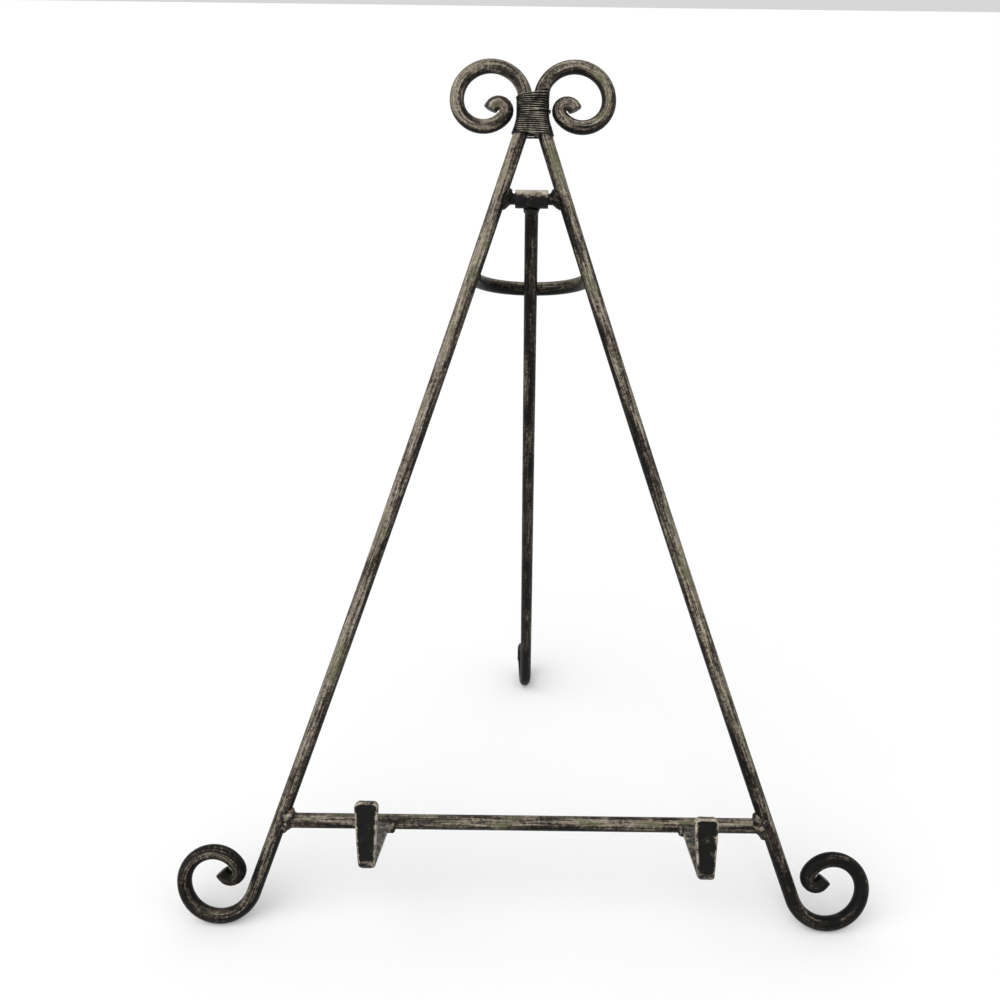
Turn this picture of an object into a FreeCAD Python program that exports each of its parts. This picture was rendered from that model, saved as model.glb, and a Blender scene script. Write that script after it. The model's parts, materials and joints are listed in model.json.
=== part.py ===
import FreeCAD, Part
import math
import os

import Sketcher

# Tabletop easel forged from round iron rod.
#
# Two side rods lean back as one flat A: each is a single bent rod with a scroll at the top
# and a scroll for a foot. They touch at the apex, where iron wire is wound round both.
# A pin welded between them carries a sleeve with the back leg, which swings about the pin
# and opens until it rests on a bowed stop rod. A crossbar low on the frame carries two
# flat-bar ledge lips for the artwork.
#
# The frame is drawn flat, in its own plane: local X to the right, local Z up the frame,
# local Y out of its back. Every frame piece then takes the same lean. The point midway
# between the rods where they touch is the "apex", and heights on the frame are measured
# down from it. World axes: +Z up, front toward -Y, floor at Z = 0.

SIZES = {
    "rod_radius": 3.175,        # quarter-inch round rod
    "apex_gap": 0.1,            # between the two rods where they meet
    "frame_lean": 22.0,         # degrees back from upright
    "foot_drop": 355.44,        # apex to the lowest centreline point of a foot scroll
    "frame_shift": -80.86,      # where the frame plane meets the feet, along Y

    "apex_rise": 3.0,           # straight part above the apex
    "shoulder_radius": 15.15, "shoulder_turn": 138.0,   # top scroll, apex to tip
    "crown_radius": 14.4, "crown_turn": 46.7,
    "throat_radius": 11.65, "throat_turn": 140.0,
    "tip_radius": 3.5, "tip_turn": 188.0, "tip_end": 1.2,

    "apex_fall": 2.5,           # straight part below the apex
    "neck_radius": 16.0, "neck_turn": 17.73,
    "run_radius": 11300.0, "run_turn": 1.807,           # the long, slightly bowed run
    "heel_radius": 15.6, "heel_turn": 157.7,            # foot scroll
    "sole_radius": 12.55, "sole_turn": 109.5,
    "toe_radius": 12.65, "toe_turn": 42.5,
    "curl_radius": 3.5, "curl_turn": 172.0, "curl_end": 2.4,

    "wire_radius": 0.45,        # binding wire
    "wire_gap": 0.3,            # between the wire and the rods
    "wire_pitch": 0.96,
    "wire_turns": 18.5,
    "wire_top": 6.3,            # first turn, above the apex

    "hinge_drop": 40.0,         # apex to hinge pin, down the frame
    "pin_radius": 2.5,
    "pin_half": 10.2,
    "sleeve_radius": 4.05,
    "sleeve_bore": 2.58,
    "sleeve_half": 7.25,

    "bow_drop": 75.4,           # apex to the back of the stop bow, down the frame
    "bow_tilt": 4.5,            # its ends sit higher than its back
    "bow_flat": 1.0,            # half the straight bit at the middle of its back
    "bow_radius": 24.3,
    "bow_turn": 90.0,
    "bow_gap": 0.4,             # between its ends and the side rods, under the weld
    "stop_gap": 0.3,            # leg to bow when the easel stands open

    "bar_drop": 313.3,          # apex to the ledge crossbar
    "bar_half": 101.8,

    "lip_spacing": 134.0,       # between the two lips
    "lip_offset": 5.6,          # their middle, right of the centre line
    "arm_reach": 47.0,          # frame plane to the front of a lip
    "arm_start": 3.3,           # its back end, just clear of the crossbar
    "arm_width": 7.8,
    "arm_thick": 3.2,
    "left_lip_height": 27.1,    # underside of the arm to the top of the lip
    "right_lip_height": 26.0,
    "left_lip_dip": 0.6,        # degrees that an arm dips toward its lip
    "right_lip_dip": 4.4,
    "lip_width": 10.6,          # across the flared top
    "lip_corner": 2.6,
    "lip_bevel": 0.7,
    "bend_radius": 3.8,         # outside of the bend between arm and lip

    "leg_radius": 3.0,
    "leg_open": 32.0,           # degrees between leg and frame
    "leg_start": 4.1,           # hinge axis to the top end of the rod
    "leg_heel_radius": 9.5, "leg_heel_turn": 215.0,     # curled foot of the leg
    "leg_toe_radius": 5.6, "leg_toe_turn": 120.0,

    "pin_bead_ring": 2.9, "pin_bead_thick": 1.6,        # weld beads
    "bow_bead_ring": 3.4, "bow_bead_thick": 1.5,
    "bar_bead_ring": 3.5, "bar_bead_thick": 2.0,
    "leg_bead_ring": 3.2, "leg_bead_thick": 1.5,
    "lip_bead_radius": 3.1, "lip_bead_half": 5.2, "lip_bead_fall": 2.1,
    "stub_half": 12.0,          # half the stretch of rod a bead is shaped against
    "stub_radius": 3.195,       # a hair over the rod, so bead and rod never overlap
    "bead_root": 0.4,           # how far a bead's middle sits outside the rod's surface
}

document = FreeCAD.newDocument("easel")
sheet = document.addObject("Spreadsheet::Sheet", "Sizes")
for row, (alias, value) in enumerate(SIZES.items(), start=1):
    sheet.set("A%d" % row, alias.replace("_", " "))
    sheet.set("B%d" % row, str(value))
    sheet.setAlias("B%d" % row, alias)
document.recompute()

NODES = []
X_AXIS = FreeCAD.Vector(1, 0, 0)
Z_AXIS = FreeCAD.Vector(0, 0, 1)
ALONG_X = FreeCAD.Rotation(FreeCAD.Vector(0, 1, 0), 90)     # takes local Z to X
ALONG_Y = FreeCAD.Rotation(X_AXIS, -90)                     # takes local Z to Y


def size(alias):
    return float(sheet.get(alias))


def plane_of(body, role):
    return next(item for item in body.Origin.OriginFeatures if item.Role == role)


def new_body(name):
    body = document.addObject("PartDesign::Body", name)
    body.Label = name
    NODES.append(body)
    return body


def new_sketch(body, name, role):
    """A sketch on one of the body's own planes."""
    sketch = body.newObject("Sketcher::SketchObject", name)
    sketch.AttachmentSupport = [(plane_of(body, role), "")]
    sketch.MapMode = "FlatFace"
    return sketch


def bind(sketch, label, formula, *arguments):
    """Adds a driving constraint and ties it to the sheet."""
    index = sketch.addConstraint(Sketcher.Constraint(*arguments))
    sketch.renameConstraint(index, label)
    sketch.setExpression("Constraints." + label, formula)


def circle_sketch(body, name, role, radius):
    sketch = new_sketch(body, name, role)
    sketch.addGeometry(Part.Circle(FreeCAD.Vector(0, 0, 0), Z_AXIS, 1.0), False)
    bind(sketch, "radius", radius, "Radius", 0, 1.0)
    sketch.addConstraint(Sketcher.Constraint("Coincident", 0, 3, -1, 1))
    return sketch


def cylinder_body(name, radius, half_length, bore=None):
    """A round bar (or tube) along local X, centred on the body's origin."""
    body = new_body(name)
    section = circle_sketch(body, name + "_section", "YZ_Plane", radius)
    if bore:
        section.addGeometry(Part.Circle(FreeCAD.Vector(0, 0, 0), Z_AXIS, 0.5), False)
        bind(section, "bore", bore, "Radius", 1, 0.5)
        section.addConstraint(Sketcher.Constraint("Coincident", 1, 3, -1, 1))
    pad = body.newObject("PartDesign::Pad", name + "_pad")
    pad.Profile = section
    pad.Midplane = True
    pad.setExpression("Length", "2 * " + half_length)
    return body


def path_sketch(body, name, role, heading, pieces):
    """A chain of tangent lines and arcs from the origin, with its first piece along an axis.

    heading is in degrees; a piece is (length,) or (radius, turn, direction) by sheet alias,
    with direction +1 for anticlockwise.
    """
    sketch = new_sketch(body, name, role)
    point = FreeCAD.Vector(0, 0, 0)
    angle = math.radians(heading)
    for index, piece in enumerate(pieces):
        if len(piece) == 1:
            end = point + FreeCAD.Vector(math.cos(angle), math.sin(angle), 0) * size(piece[0])
            sketch.addGeometry(Part.LineSegment(point, end), False)
            first, last = 1, 2
            bind(sketch, "length_%d" % index, "Sizes." + piece[0], "Distance", index,
                 size(piece[0]))
        else:
            radius, turn = size(piece[0]), math.radians(size(piece[1]))
            way = piece[2]
            centre = point + FreeCAD.Vector(-math.sin(angle), math.cos(angle), 0) * radius * way
            begin = angle - way * math.pi / 2
            finish = begin + way * turn
            circle = Part.Circle(centre, Z_AXIS, radius)
            low, high = (begin, finish) if way > 0 else (finish, begin)
            sketch.addGeometry(Part.ArcOfCircle(circle, low, high), False)
            first, last = (1, 2) if way > 0 else (2, 1)
            bind(sketch, "radius_%d" % index, "Sizes." + piece[0], "Radius", index, radius)
            bind(sketch, "turn_%d" % index, "Sizes." + piece[1], "Angle", index, turn)
            end = centre + FreeCAD.Vector(math.cos(finish), math.sin(finish), 0) * radius
            angle += way * turn
        if index == 0:
            sketch.addConstraint(Sketcher.Constraint("Coincident", 0, first, -1, 1))
            level = "Vertical" if abs(math.cos(angle)) < 0.5 else "Horizontal"
            sketch.addConstraint(Sketcher.Constraint(level, 0))
        else:
            sketch.addConstraint(
                Sketcher.Constraint("Tangent", index - 1, previous_last, index, first))
        previous_last = last
        point = end
    return sketch


def add_pipe(body, name, section, path):
    pipe = body.newObject("PartDesign::AdditivePipe", name)
    pipe.Profile = section
    pipe.Spine = (path, [])
    return pipe


# Where things stand. The lean turns the flat frame about X; the apex goes with it.

def lean():
    return FreeCAD.Rotation(X_AXIS, -size("frame_lean"))


def apex():
    foot = FreeCAD.Vector(0, size("frame_shift"), size("rod_radius"))
    return foot + lean().multVec(FreeCAD.Vector(0, 0, size("foot_drop")))


def on_frame(x, y, drop, turn=FreeCAD.Rotation()):
    """Placement of a piece given in the frame's own plane, measured down from the apex."""
    base = apex() + lean().multVec(FreeCAD.Vector(x, y, -drop))
    return FreeCAD.Placement(base, lean().multiply(turn))


# Side rods

def side_rod(name, side):
    """One bent rod; side is -1 for the left and +1 for the right. Origin at the apex."""
    body = new_body(name)
    section = circle_sketch(body, name + "_section", "XY_Plane", "Sizes.rod_radius")
    upper = path_sketch(body, name + "_upper", "XZ_Plane", 90, [
        ("apex_rise",),
        ("shoulder_radius", "shoulder_turn", -side),
        ("crown_radius", "crown_turn", -side),
        ("throat_radius", "throat_turn", -side),
        ("tip_radius", "tip_turn", -side),
        ("tip_end",)])
    lower = path_sketch(body, name + "_lower", "XZ_Plane", -90, [
        ("apex_fall",),
        ("neck_radius", "neck_turn", side),
        ("run_radius", "run_turn", side),
        ("heel_radius", "heel_turn", side),
        ("sole_radius", "sole_turn", side),
        ("toe_radius", "toe_turn", side),
        ("curl_radius", "curl_turn", side),
        ("curl_end",)])
    add_pipe(body, name + "_scroll", section, upper)
    add_pipe(body, name + "_run", section, lower)
    body.Placement = on_frame(side * (size("rod_radius") + size("apex_gap") / 2), 0, 0)
    return body


def rod_half_span(drop):
    """Distance of a side rod's centreline from the centre line, at a drop from the apex."""
    half = size("rod_radius") + size("apex_gap") / 2
    above = -drop - size("apex_rise")
    if above > 0:
        shoulder = size("shoulder_radius")
        return half + shoulder - math.sqrt(shoulder ** 2 - above ** 2)
    below = drop - size("apex_fall")
    if below <= 0:
        return half
    neck, turn = size("neck_radius"), math.radians(size("neck_turn"))
    if below < neck * math.sin(turn):
        return half + neck - math.sqrt(neck ** 2 - below ** 2)
    half += neck * (1 - math.cos(turn))
    below -= neck * math.sin(turn)
    run = size("run_radius")
    side = run * math.sin(turn) + below
    return half + run * math.cos(turn) - math.sqrt(run ** 2 - side ** 2)


left_rod = side_rod("left_side_rod", -1)
right_rod = side_rod("right_side_rod", 1)


# Hinge pin, and the leg's sleeve on it

hinge_pin = cylinder_body("hinge_pin", "Sizes.pin_radius", "Sizes.pin_half")
hinge_pin.Placement = on_frame(0, 0, size("hinge_drop"))

leg_turn = FreeCAD.Rotation(X_AXIS, size("leg_open"))
sleeve = cylinder_body("hinge_sleeve", "Sizes.sleeve_radius", "Sizes.sleeve_half",
                       "Sizes.sleeve_bore")
sleeve.Placement = on_frame(0, 0, size("hinge_drop"), leg_turn)


# Back leg: straight down from the sleeve, then curled back and up where it meets the floor

def straight_leg_length():
    down = math.radians(size("leg_open") - size("frame_lean"))
    height = ((size("foot_drop") - size("hinge_drop")) * math.cos(math.radians(size("frame_lean")))
              + size("rod_radius") - size("leg_radius"))
    heel = size("leg_heel_radius") * (1 - math.sin(down))
    return (height - heel) / math.cos(down) - size("leg_start")


row = len(SIZES) + 1
sheet.set("A%d" % row, "straight part of the leg")
sheet.set("B%d" % row, "%.4f" % straight_leg_length())
sheet.setAlias("B%d" % row, "leg_straight")
document.recompute()

back_leg = new_body("back_leg")
leg_section = circle_sketch(back_leg, "leg_section", "XY_Plane", "Sizes.leg_radius")
leg_path = path_sketch(back_leg, "leg_path", "YZ_Plane", -90, [
    ("leg_straight",),
    ("leg_heel_radius", "leg_heel_turn", 1),
    ("leg_toe_radius", "leg_toe_turn", 1)])
add_pipe(back_leg, "leg_rod", leg_section, leg_path)
leg_top = leg_turn.multVec(FreeCAD.Vector(0, 0, -size("leg_start")))
back_leg.Placement = on_frame(0, leg_top.y, size("hinge_drop") - leg_top.z, leg_turn)


# Stop bow: a half ring behind the frame, drawn from the middle of its back

def bow_depth():
    """Depth of the bow's back that leaves the open leg just clear of it."""
    opening = math.radians(size("leg_open"))
    below = size("bow_drop") - size("hinge_drop")
    clear = size("rod_radius") + size("leg_radius") + size("stop_gap")
    return (clear + below * math.sin(opening)) / math.cos(opening)


def bow_straight():
    reach = bow_depth() - size("rod_radius") - size("bow_gap")
    return reach / math.cos(math.radians(size("bow_tilt"))) - size("bow_radius")


row += 1
sheet.set("A%d" % row, "straight end of the bow")
sheet.set("B%d" % row, "%.4f" % bow_straight())
sheet.setAlias("B%d" % row, "bow_end")
document.recompute()

stop_bow = new_body("leg_stop_bow")
bow_section = circle_sketch(stop_bow, "bow_section", "YZ_Plane", "Sizes.rod_radius")
for side, word in ((-1, "left"), (1, "right")):
    half = path_sketch(stop_bow, "bow_path_" + word, "XY_Plane", 90 - 90 * side, [
        ("bow_flat",), ("bow_radius", "bow_turn", -side), ("bow_end",)])
    add_pipe(stop_bow, "bow_half_" + word, bow_section, half)
bow_turn = FreeCAD.Rotation(X_AXIS, -size("bow_tilt"))
stop_bow.Placement = on_frame(0, bow_depth(), size("bow_drop"), bow_turn)


# Ledge crossbar

crossbar = cylinder_body("ledge_crossbar", "Sizes.rod_radius", "Sizes.bar_half")
crossbar.Placement = on_frame(0, 0, size("bar_drop"))


# Ledge lips: flat bar running forward from the crossbar, then bent up and flared

def value_of(formula):
    """Value of an expression made of sheet names, numbers and + - * / ( )."""
    probe = "B%d" % (len(SIZES) + 9)
    sheet.set(probe, "=" + formula.replace("Sizes.", ""))
    document.recompute()
    return float(sheet.get(probe))


def polygon(sketch, corners, tag=""):
    """A closed outline through corners, each a pair of expressions from the origin."""
    start = sketch.GeometryCount
    count = len(corners)
    points = [FreeCAD.Vector(value_of(x), value_of(y), 0) for x, y in corners]
    for index in range(count):
        sketch.addGeometry(Part.LineSegment(points[index], points[(index + 1) % count]), False)
    for index in range(count):
        line = start + index
        sketch.addConstraint(Sketcher.Constraint(
            "Coincident", line, 2, start + (index + 1) % count, 1))
        for kind, formula, number in (("DistanceX", corners[index][0], points[index].x),
                                      ("DistanceY", corners[index][1], points[index].y)):
            label = "%s%s%d" % (tag, kind, index)
            if number >= 0:
                bind(sketch, label, formula, kind, -1, 1, line, 1, number)
            else:
                bind(sketch, label, "-(%s)" % formula, kind, line, 1, -1, 1, -number)


def edges_where(shape, test):
    names = []
    for index, edge in enumerate(shape.Edges, start=1):
        box = edge.BoundBox
        if test(box):
            names.append("Edge%d" % index)
    return names


def dress(body, kind, name, base, test, formula):
    """A fillet or chamfer on the edges of base that pass the test."""
    document.recompute()
    feature = body.newObject("PartDesign::" + kind, name)
    feature.Base = (base, edges_where(base.Shape, test))
    feature.setExpression("Radius" if kind == "Fillet" else "Size", formula)
    return feature


def along_x_at(y, z):
    return lambda box: (box.XLength > 1 and box.YLength < 0.01 and box.ZLength < 0.01
                        and abs(box.YMin - y) < 0.01 and abs(box.ZMin - z) < 0.01)


def ledge_lip(word, x):
    name, height, dip = word + "_ledge_lip", word + "_lip_height", size(word + "_lip_dip")
    body = new_body(name)
    half = "Sizes.arm_thick / 2"
    top = "(Sizes.%s - %s)" % (height, half)
    front, inner = "-Sizes.arm_reach", "(Sizes.arm_thick - Sizes.arm_reach)"
    side = new_sketch(body, name + "_side", "YZ_Plane")
    polygon(side, [("-Sizes.arm_start", "-" + half), ("-Sizes.arm_start", half),
                   (inner, half), (inner, top), (front, top), (front, "-" + half)])
    pad = body.newObject("PartDesign::Pad", name + "_bar")
    pad.Profile = side
    pad.Midplane = True
    pad.setExpression("Length", "Sizes.lip_width + 4")

    thick, reach = size("arm_thick"), size("arm_reach")
    bend = dress(body, "Fillet", name + "_bend", pad,
                 along_x_at(-reach, -thick / 2), "Sizes.bend_radius")
    crook = dress(body, "Fillet", name + "_crook", bend,
                  along_x_at(thick - reach, thick / 2), "Sizes.bend_radius - Sizes.arm_thick")

    flare = new_sketch(body, name + "_flare", "XZ_Plane")
    low, wide = "Sizes.arm_width / 2", "Sizes.lip_width / 2"
    polygon(flare, [("-" + low, "-" + half), (low, "-" + half), (wide, top), ("-" + wide, top)],
            "inner_")
    polygon(flare, [("-Sizes.lip_width", "-Sizes.arm_thick"), ("Sizes.lip_width", "-Sizes.arm_thick"),
                    ("Sizes.lip_width", "Sizes.%s * 2" % height),
                    ("-Sizes.lip_width", "Sizes.%s * 2" % height)], "outer_")
    trim = body.newObject("PartDesign::Pocket", name + "_trim")
    trim.Profile = flare
    trim.Midplane = True
    trim.setExpression("Length", "Sizes.arm_reach * 3")

    tip = size(height) - thick / 2
    corner = dress(body, "Fillet", name + "_corners", trim,
                   lambda box: (box.XLength < 0.01 and box.ZLength < 0.01
                                and abs(box.ZMin - tip) < 0.01), "Sizes.lip_corner")
    dress(body, "Chamfer", name + "_bevel", corner,
          lambda box: box.YLength < 0.01 and abs(box.YMin + reach) < 0.01 and box.ZMax > 3,
          "Sizes.lip_bevel")
    body.Placement = on_frame(x, 0, size("bar_drop"), FreeCAD.Rotation(X_AXIS, dip))
    return body


lip_places = {word: size("lip_offset") + side * size("lip_spacing") / 2
              for word, side in (("left", -1), ("right", 1))}
lips = {word: ledge_lip(word, x) for word, x in lip_places.items()}


# Binding wire: wound round both rods from above the apex to where they part

def wound_wire():
    """One wire: level half circles round each rod in turn, joined by straights that step down."""
    radius = size("rod_radius") + size("wire_gap") + size("wire_radius")
    edges = []
    for index in range(int(size("wire_turns") * 2)):
        side = 1 if index % 2 == 0 else -1
        drop = index * size("wire_pitch") / 2 - size("wire_top")
        middle = FreeCAD.Vector(side * rod_half_span(drop), 0, -drop)
        ahead = FreeCAD.Vector(0, side * radius, 0)
        begin, finish = middle - ahead, middle + ahead
        if edges:
            edges.append(Part.LineSegment(last, begin).toShape())
        else:
            section = Part.Circle(begin, X_AXIS, size("wire_radius")).toShape()
        outer = middle + X_AXIS * side * radius
        edges.append(Part.Arc(begin, outer, finish).toShape())
        last = finish
    return Part.Wire(edges).makePipeShell([Part.Wire([section])], True, False)


document.recompute()
wire = document.addObject("Part::Feature", "binding_wire")
wire.Label = "binding_wire"
wire.Shape = wound_wire()
wire.Placement = on_frame(0, 0, 0)
NODES.append(wire)


# Weld beads: rounded filler, fitted round the pieces they join

def fitted(name, filler, joined):
    result = filler
    for index, piece in enumerate(joined):
        cut = document.addObject("Part::Cut", "%s_fit_%d" % (name, index))
        cut.Base, cut.Tool = result, piece
        result = cut
    result.Label = name
    NODES.append(result)


def ring_bead(name, kind, centre, joined):
    """A bead round the end of a bar that runs along the placement's Z."""
    ring = document.addObject("Part::Torus", name + "_ring")
    ring.setExpression("Radius1", "Sizes.%s_bead_ring" % kind)
    ring.setExpression("Radius2", "Sizes.%s_bead_thick" % kind)
    ring.Placement = centre
    fitted(name, ring, joined)


def round_bar(name, radius, half, centre):
    """A plain cylinder along the placement's Z, centred on it."""
    bar = document.addObject("Part::Cylinder", name)
    bar.setExpression("Radius", "Sizes." + radius)
    bar.setExpression("Height", "Sizes.%s * 2" % half)
    middle = FreeCAD.Placement(FreeCAD.Vector(0, 0, -size(half)), FreeCAD.Rotation())
    bar.Placement = centre.multiply(middle)
    return bar


def rod_stub(name, side, drop):
    """The short stretch of a side rod that a bead is fitted to."""
    slope = side * (size("neck_turn") + math.degrees((drop - size("neck_radius"))
                                                     / size("run_radius")))
    tilt = FreeCAD.Rotation(FreeCAD.Vector(0, 1, 0), -slope)
    return round_bar(name, "stub_radius", "stub_half",
                     on_frame(side * rod_half_span(drop), 0, drop, tilt))


bow_end_drop = size("bow_drop") + bow_turn.multVec(
    FreeCAD.Vector(0, bow_depth() - size("rod_radius"), 0)).z
for word, side in (("left", -1), ("right", 1)):
    drop = {"hinge": size("hinge_drop"), "bar": size("bar_drop"), "bow": bow_end_drop}
    stub = {kind: rod_stub("rod_at_%s_%s" % (kind, word), side, drop[kind]) for kind in drop}
    slope = math.cos(math.radians(size("neck_turn") + size("run_turn") / 2))
    surface = size("rod_radius") / slope + size("bead_root")
    ring_bead("hinge_pin_weld_" + word, "pin",
              on_frame(side * (rod_half_span(drop["hinge"]) - surface), 0, drop["hinge"],
                       ALONG_X), (stub["hinge"], hinge_pin))
    ring_bead("crossbar_weld_" + word, "bar",
              on_frame(side * (rod_half_span(drop["bar"]) - surface), 0, drop["bar"],
                       ALONG_X), (stub["bar"], crossbar))
    ring_bead("bow_weld_" + word, "bow",
              on_frame(side * (size("bow_radius") + size("bow_flat")),
                       size("rod_radius") + size("bead_root"), drop["bow"],
                       bow_turn.multiply(ALONG_Y)),
              (stub["bow"], stop_bow))
    filler = round_bar("lip_filler_" + word, "lip_bead_radius", "lip_bead_half",
                       on_frame(lip_places[word], -size("rod_radius") - size("bead_root"),
                                drop["bar"] + size("lip_bead_fall"), ALONG_X))
    fitted("lip_weld_" + word, filler, (crossbar, lips[word]))

sleeve_core = round_bar("sleeve_core", "sleeve_radius", "sleeve_half",
                        on_frame(0, 0, size("hinge_drop"), ALONG_X))
root = leg_turn.multVec(FreeCAD.Vector(0, 0, -size("sleeve_radius") - size("bead_root")))
ring_bead("leg_weld", "leg", on_frame(0, root.y, size("hinge_drop") - root.z, leg_turn),
          (sleeve_core, back_leg))


# Check every piece, then write it out

document.recompute()
for item in document.Objects:
    troubles = {"Invalid", "Error"} & set(item.State)
    if troubles:
        raise RuntimeError("%s: %s" % (item.Label, item.State))
for node in NODES:
    shape = node.Shape
    if shape.isNull() or not shape.isValid() or not shape.Solids:
        raise RuntimeError(node.Label + ": no valid solid")

os.makedirs("parts", exist_ok=True)
for node in NODES:
    node.Shape.exportStep("parts/%s.step" % node.Label)
    print("%-24s %2d solid(s) %10.1f mm3" % (node.Label, len(node.Shape.Solids),
                                             node.Shape.Volume))
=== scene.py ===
# %% [markdown]
# # A forged tabletop easel
#
# The easel is bent from round iron rod, welded, bound with wire and finished in black with
# an antique bronze rubbed over it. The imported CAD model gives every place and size; this
# file gives the pieces their hand-made shapes and their finish.

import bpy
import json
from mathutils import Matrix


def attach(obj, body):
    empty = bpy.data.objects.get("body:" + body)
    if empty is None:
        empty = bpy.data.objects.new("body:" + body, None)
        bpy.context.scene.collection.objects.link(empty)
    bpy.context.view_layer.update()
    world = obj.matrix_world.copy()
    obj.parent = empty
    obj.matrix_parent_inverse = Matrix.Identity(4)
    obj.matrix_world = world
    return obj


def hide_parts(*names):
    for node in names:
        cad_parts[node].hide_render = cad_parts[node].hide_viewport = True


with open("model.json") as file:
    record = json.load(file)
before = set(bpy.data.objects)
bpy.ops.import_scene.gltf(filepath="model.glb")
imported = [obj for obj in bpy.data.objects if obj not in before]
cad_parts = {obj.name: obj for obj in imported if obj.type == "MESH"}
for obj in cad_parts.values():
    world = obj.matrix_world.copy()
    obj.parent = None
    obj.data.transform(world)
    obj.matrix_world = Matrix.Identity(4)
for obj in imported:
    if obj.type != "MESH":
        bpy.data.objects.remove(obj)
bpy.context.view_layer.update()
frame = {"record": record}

# %% Modules
import json
import math

import bmesh
import bpy
from mathutils import Matrix, Vector, noise

noise.seed_set(3)                             # the same unevenness on every run
print("modules loaded")

# %% [markdown]
# ## Where the frame stands
#
# The two side rods lie in one plane that leans back. Every frame piece is easiest to shape
# flat, with X across, Z up the frame and Y out of its back, and then take that lean. The
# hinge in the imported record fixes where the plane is, and the drop from the apex (where the
# rods touch) to the hinge fixes the apex.

# %% The lean and the apex
MM = 0.001
LEAN = math.radians(22.0)
HINGE_DROP = 40.0 * MM
hinge = Vector(next(j["pos_m"] for j in frame["record"]["behaviour"]["joints"]
                    if j["name"] == "leg_hinge"))
tilt = Matrix.Rotation(-LEAN, 4, "X")
apex = hinge + tilt @ Vector((0, 0, HINGE_DROP))
flat = Matrix.Translation(apex) @ tilt
print("apex", tuple(round(v, 4) for v in apex))


def on_frame(x, y, drop):
    """A point given across, behind and down the flat frame, in metres."""
    return flat @ Vector((x, y, -drop))


# %% [markdown]
# ## A rod that remembers its own length
#
# A smith bends one straight bar, so its finish runs along it and round it, through every
# scroll. Sweeping a ring of points with spin for the bends and extrude for the straights
# does the same. Each point keeps where it was on the straight bar: across, deep and along.
# The finish reads that place, so its streaks follow the iron.

# %% Bending a rod
ROD = 3.175 * MM
ACROSS, BEHIND, UP = Vector((1, 0, 0)), Vector((0, 1, 0)), Vector((0, 0, 1))


class Rod:
    """A round bar, bent a step at a time in the plane that axis stands out of."""

    def __init__(self, radius, start, heading, axis, ring=28):
        self.bm = bmesh.new()
        self.place = self.bm.verts.layers.float_vector.new("rod_space")
        self.start, self.at = Vector(start), Vector(start)
        self.heading, self.axis = Vector(heading), Vector(axis)
        self.along, self.sign = 0.0, 1
        sideways = self.axis.cross(self.heading)
        made = bmesh.ops.create_circle(self.bm, cap_ends=False, radius=radius, segments=ring)
        for vert in made["verts"]:
            x, y = vert.co.x, vert.co.y
            vert[self.place] = (x, y, 0.0)
            vert.co = self.at + sideways * x + self.axis * y
        self.ring = self.first = list(made["verts"])

    def edges(self, verts):
        members = set(verts)
        return list(dict.fromkeys(edge for vert in verts for edge in vert.link_edges
                                  if edge.verts[0] in members and edge.verts[1] in members))

    def step(self, made, length):
        self.ring = [item for item in made if isinstance(item, bmesh.types.BMVert)]
        self.along += self.sign * length
        for vert in self.ring:
            x, y, _ = vert[self.place]
            vert[self.place] = (x, y, self.along)

    def straight(self, length, step=4 * MM):
        count = max(1, round(length / step))
        for _ in range(count):
            made = bmesh.ops.extrude_edge_only(self.bm, edges=self.edges(self.ring))
            self.step(made["geom"], length / count)
            move = self.heading * (length / count)
            bmesh.ops.translate(self.bm, verts=self.ring, vec=move)
            self.at = self.at + move
        return self

    def bend(self, radius, degrees, way, step=1.1 * MM):
        """An arc about the axis; way is +1 for a right-handed turn and -1 for a left-handed."""
        count = max(2, round(radius * math.radians(degrees) / step))
        centre = self.at + self.axis.cross(self.heading) * way * radius
        turn = math.radians(degrees) / count * way
        spin = Matrix.Rotation(turn, 3, self.axis)
        for _ in range(count):
            made = bmesh.ops.spin(self.bm, geom=self.edges(self.ring), cent=centre,
                                  axis=self.axis, angle=turn, steps=1, use_duplicate=False)
            self.step(made["geom_last"], radius * abs(turn))
            self.heading = spin @ self.heading
            self.at = centre + spin @ (self.at - centre)
        return self

    def other_way(self, heading):
        """Goes back to the starting ring, to bend the rest of the bar from there."""
        self.last = self.ring
        self.ring, self.at, self.heading = self.first, self.start.copy(), Vector(heading)
        self.along, self.sign = 0.0, -1
        return self

    def close(self, rings, chamfer=0.45 * MM):
        """Flat cut ends, each with a small rounded rim."""
        for ring in rings:
            made = bmesh.ops.contextual_create(self.bm, geom=self.edges(ring))
            bmesh.ops.bevel(self.bm, geom=list(made["faces"][0].edges), offset=chamfer,
                            affect="EDGES", segments=2, profile=0.5, material=-1)
        return self


# %% [markdown]
# ## From a worked mesh to a finished piece
#
# Every piece ends the same way: it is laid in its place, its faces are turned outward and
# shaded smooth, and it becomes an object that itself stays at the origin, unturned.

# %% Finishing a piece
def finished(name, bm, place=None):
    """A smooth-shaded object at the origin, with its faces turned outward."""
    if place is not None:
        bmesh.ops.transform(bm, matrix=place, verts=bm.verts)
    bmesh.ops.recalc_face_normals(bm, faces=bm.faces)
    mesh = bpy.data.meshes.new(name)
    bm.to_mesh(mesh)
    bm.free()
    mesh.shade_smooth()
    piece = bpy.data.objects.new(name, mesh)
    bpy.context.scene.collection.objects.link(piece)
    print(name, len(mesh.vertices), "points")
    return piece


# %% [markdown]
# ## The side rods
#
# Each side of the easel is one bar: a scroll at the top, a straight touch against its twin,
# a neck, a long run with a slight bow, and a scroll for a foot. A scroll tightens as it
# goes, so it is four arcs, the last one hooked tight round the horn, and a short straight tip.

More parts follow.
